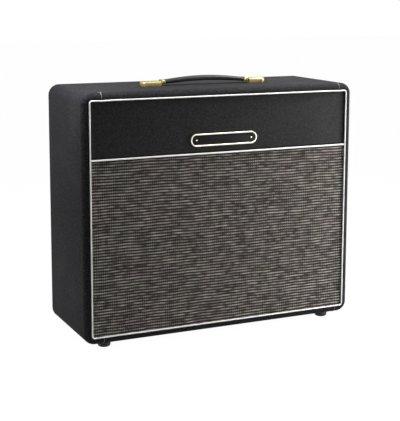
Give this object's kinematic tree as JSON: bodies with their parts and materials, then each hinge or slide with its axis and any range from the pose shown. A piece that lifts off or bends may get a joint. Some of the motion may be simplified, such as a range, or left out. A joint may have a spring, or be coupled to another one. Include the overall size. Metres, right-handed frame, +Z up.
{
  "type": "combo amplifier",
  "caption": "Combo guitar amplifier in a vinyl-covered box with ribbed grille cloth, white piping, strap handle, valve chassis and a loudspeaker.",
  "frame": {"origin": "on the floor under the middle of the box", "axes": "+Z up, the grille faces -Y, the controls face +Y, +X is the right side seen from the front"},
  "size_m": [0.61, 0.2314, 0.5375],
  "materials": {
    "black_vinyl": "pebble-grained black vinyl cloth",
    "plywood": "bare birch plywood inside, black at the front",
    "grille_cloth": "ribbed dark weave with pale weft",
    "white_piping": "smooth white vinyl bead",
    "gold_metal": "polished pale gold plate",
    "panel_gold": "brushed gold panel",
    "strap_rubber": "black moulded strap over a sprung steel strip",
    "black_rubber": "moulded black rubber",
    "zinc_steel": "zinc-plated sheet steel",
    "grey_steel": "grey painted pressed steel",
    "cone_paper": "pressed dark grey paper with ribs",
    "treated_cloth": "doped corrugated cloth",
    "coil_former": "paper former with copper wire",
    "magnet_ferrite": "dark ferrite between steel plates",
    "black_plastic": "moulded black phenolic",
    "chrome_metal": "nickel plated",
    "valve_glass": "clear glass with a silvered top",
    "red_jewel": "faceted red jewel"
  },
  "bodies": {
    "cabinet": {"badge_plate": "gold_metal", "baffle_board": "plywood", "bottom_board": "plywood", "chassis": "zinc_steel", "connector_panel": "zinc_steel", "control_panel": "panel_gold", "fascia_panel": "black_vinyl", "filter_capacitor": "chrome_metal", "foot_front_left": "black_rubber", "foot_front_right": "black_rubber", "foot_rear_left": "black_rubber", "foot_rear_right": "black_rubber", "grille_cloth": "grille_cloth", "handle_cap_left": "gold_metal", "handle_cap_right": "gold_metal", "input_jack_1": "chrome_metal", "input_jack_2": "chrome_metal", "input_jack_3": "chrome_metal", "input_jack_4": "chrome_metal", "left_board": "plywood", "lower_back_panel": "black_vinyl", "mains_inlet": "black_plastic", "mains_transformer": "grey_steel", "output_transformer": "grey_steel", "pilot_lamp": "red_jewel", "piping_divider": "white_piping", "piping_frame": "white_piping", "power_valve_1": "valve_glass", "power_valve_2": "valve_glass", "preamp_valve_1": "valve_glass", "preamp_valve_2": "valve_glass", "preamp_valve_3": "valve_glass", "rectifier_valve": "valve_glass", "right_board": "plywood", "speaker_frame": "grey_steel", "speaker_jack_1": "chrome_metal", "speaker_jack_2": "chrome_metal", "speaker_magnet": "magnet_ferrite", "speaker_spider": "treated_cloth", "speaker_surround": "treated_cloth", "top_board": "plywood", "upper_back_panel": "black_vinyl", "vinyl_covering": "black_vinyl"},
    "handle_strap": {"handle_strap": "strap_rubber"},
    "handle_ferrule_left": {"handle_ferrule_left": "gold_metal"},
    "handle_ferrule_right": {"handle_ferrule_right": "gold_metal"},
    "speaker_cone": {"speaker_cone": "cone_paper", "dust_cap": "cone_paper", "voice_coil": "coil_former"},
    "impedance_selector": {"impedance_selector": "black_plastic"},
    "normal_volume_knob": {"normal_volume_knob": "black_plastic"},
    "normal_tone_knob": {"normal_tone_knob": "black_plastic"},
    "tremolo_volume_knob": {"tremolo_volume_knob": "black_plastic"},
    "tremolo_tone_knob": {"tremolo_tone_knob": "black_plastic"},
    "tremolo_speed_knob": {"tremolo_speed_knob": "black_plastic"},
    "tremolo_depth_knob": {"tremolo_depth_knob": "black_plastic"},
    "mains_fuse_cap": {"mains_fuse_cap": "black_plastic"},
    "ht_fuse_cap": {"ht_fuse_cap": "black_plastic"},
    "standby_toggle": {"standby_toggle": "chrome_metal"},
    "power_toggle": {"power_toggle": "chrome_metal"}
  },
  "joints": [
    {"name": "normal_volume_turn", "type": "hinge", "parent": "cabinet", "child": "normal_volume_knob", "pos_m": [0.1596, 0.0937, 0.4749], "axis": [0, 1, 0], "range_deg": [-150, 150]},
    {"name": "normal_tone_turn", "type": "hinge", "parent": "cabinet", "child": "normal_tone_knob", "pos_m": [0.1197, 0.0937, 0.4749], "axis": [0, 1, 0], "range_deg": [-150, 150]},
    {"name": "tremolo_volume_turn", "type": "hinge", "parent": "cabinet", "child": "tremolo_volume_knob", "pos_m": [0.0171, 0.0937, 0.4749], "axis": [0, 1, 0], "range_deg": [-150, 150]},
    {"name": "tremolo_tone_turn", "type": "hinge", "parent": "cabinet", "child": "tremolo_tone_knob", "pos_m": [-0.0228, 0.0937, 0.4749], "axis": [0, 1, 0], "range_deg": [-150, 150]},
    {"name": "tremolo_speed_turn", "type": "hinge", "parent": "cabinet", "child": "tremolo_speed_knob", "pos_m": [-0.0627, 0.0937, 0.4749], "axis": [0, 1, 0], "range_deg": [-150, 150]},
    {"name": "tremolo_depth_turn", "type": "hinge", "parent": "cabinet", "child": "tremolo_depth_knob", "pos_m": [-0.1026, 0.0937, 0.4749], "axis": [0, 1, 0], "range_deg": [-150, 150]},
    {"name": "standby_flip", "type": "hinge", "parent": "cabinet", "child": "standby_toggle", "pos_m": [-0.18525, 0.0947, 0.4749], "axis": [1, 0, 0], "range_deg": [0, 24]},
    {"name": "power_flip", "type": "hinge", "parent": "cabinet", "child": "power_toggle", "pos_m": [-0.228, 0.0947, 0.4749], "axis": [1, 0, 0], "range_deg": [0, 24]},
    {"name": "impedance_turn", "type": "hinge", "parent": "cabinet", "child": "impedance_selector", "pos_m": [-0.114, 0.0914, 0.397], "axis": [0, 1, 0], "range_deg": [-45, 45]},
    {"name": "mains_fuse_turn", "type": "hinge", "parent": "cabinet", "child": "mains_fuse_cap", "pos_m": [-0.178, 0.0914, 0.397], "axis": [0, -1, 0], "range_deg": [0, 60]},
    {"name": "ht_fuse_turn", "type": "hinge", "parent": "cabinet", "child": "ht_fuse_cap", "pos_m": [-0.152, 0.0914, 0.397], "axis": [0, -1, 0], "range_deg": [0, 60]},
    {"name": "cone_travel", "type": "slide", "parent": "cabinet", "child": "speaker_cone", "axis": [0, -1, 0], "range_m": [-0.003, 0.003], "stiffness_N_per_m": 2500},
    {"name": "handle_lift", "type": "slide", "parent": "cabinet", "child": "handle_strap", "axis": [0, 0, 1], "range_m": [0, 0.022]},
    {"name": "left_tongue_slide", "type": "slide", "parent": "handle_strap", "child": "handle_ferrule_left", "axis": [0.2631, 0, -0.9648], "range_m": [0, 0.0229]},
    {"name": "right_tongue_slide", "type": "slide", "parent": "handle_strap", "child": "handle_ferrule_right", "axis": [-0.2631, 0, -0.9648], "range_m": [0, 0.0229]}
  ],
  "couplings": [
    {"joint": "left_tongue_slide", "follows": "handle_lift", "ratio": 1.0365},
    {"joint": "right_tongue_slide", "follows": "handle_lift", "ratio": 1.0365}
  ]
}
